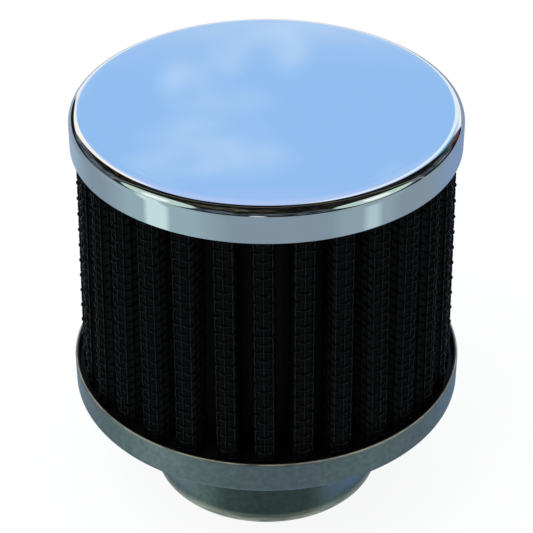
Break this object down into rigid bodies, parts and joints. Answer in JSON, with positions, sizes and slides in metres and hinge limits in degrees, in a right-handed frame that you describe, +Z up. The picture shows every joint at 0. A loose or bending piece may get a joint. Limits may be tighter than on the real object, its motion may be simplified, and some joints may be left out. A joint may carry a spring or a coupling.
{
  "type": "crankcase breather filter",
  "caption": "Round breather filter for an engine crankcase: chrome cap, pleated wire screen and gauze element, zinc pan with a push-on neck.",
  "frame": {"origin": "centre of the neck's lower rim, which the part stands on", "axes": "+Z up along the axis from the neck to the cap; a pleat's tip faces -Y"},
  "size_m": [0.0798, 0.0798, 0.0862],
  "materials": {
    "chrome_plate": "mirror chrome plate on drawn steel",
    "zinc_plate": "dull zinc plate on drawn steel, slightly mottled",
    "black_screen": "black coated woven wire",
    "bare_screen": "plain woven wire",
    "gauze": "dark oiled cotton gauze",
    "potting": "cast black potting, satin"
  },
  "bodies": {
    "root": {"base_pan": "zinc_plate", "bottom_seal": "potting", "inner_screen": "bare_screen", "filter_media": "gauze", "outer_screen": "black_screen", "top_seal": "potting", "top_cap": "chrome_plate"}
  },
  "joints": []
}
